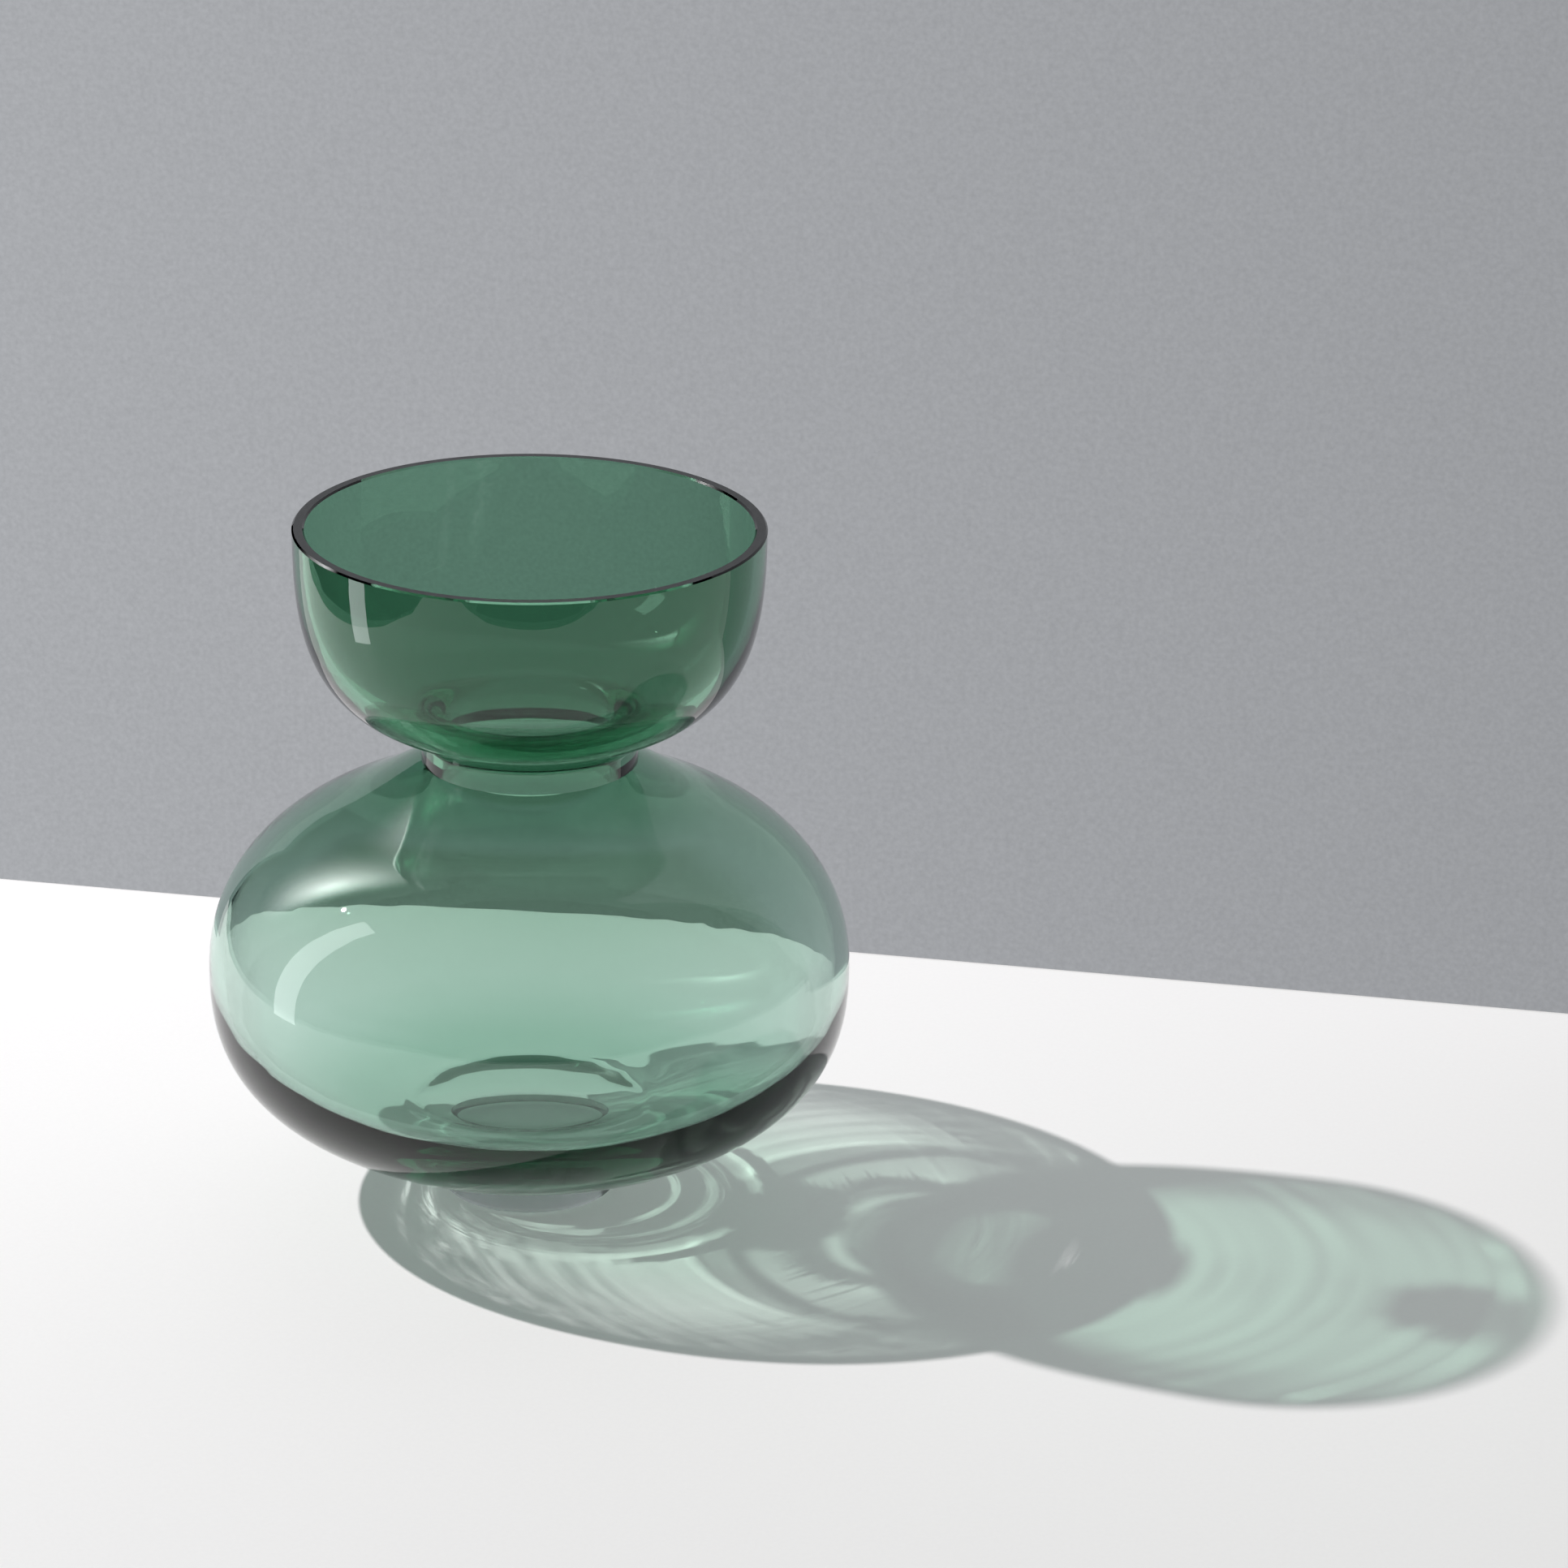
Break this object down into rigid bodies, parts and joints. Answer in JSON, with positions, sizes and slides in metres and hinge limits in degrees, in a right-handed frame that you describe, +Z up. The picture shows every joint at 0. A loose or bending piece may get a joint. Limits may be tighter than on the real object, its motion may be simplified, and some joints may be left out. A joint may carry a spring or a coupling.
{
  "type": "glass vase",
  "caption": "Round-bodied blown green glass vase with a tight neck, a deep open bowl above it and a clear solid glass foot.",
  "frame": {"origin": "centre of the foot's flat underside, on the surface that the vase stands on", "axes": "+Z up along the vase's axis of turning, +Y away from the picture's camera, +X to its right"},
  "size_m": [0.2144, 0.2144, 0.2338],
  "materials": {
    "green_glass": "fire-polished, see-through green",
    "clear_glass": "polished, colourless"
  },
  "bodies": {
    "root": {"vessel": "green_glass", "foot": "clear_glass"}
  },
  "joints": []
}
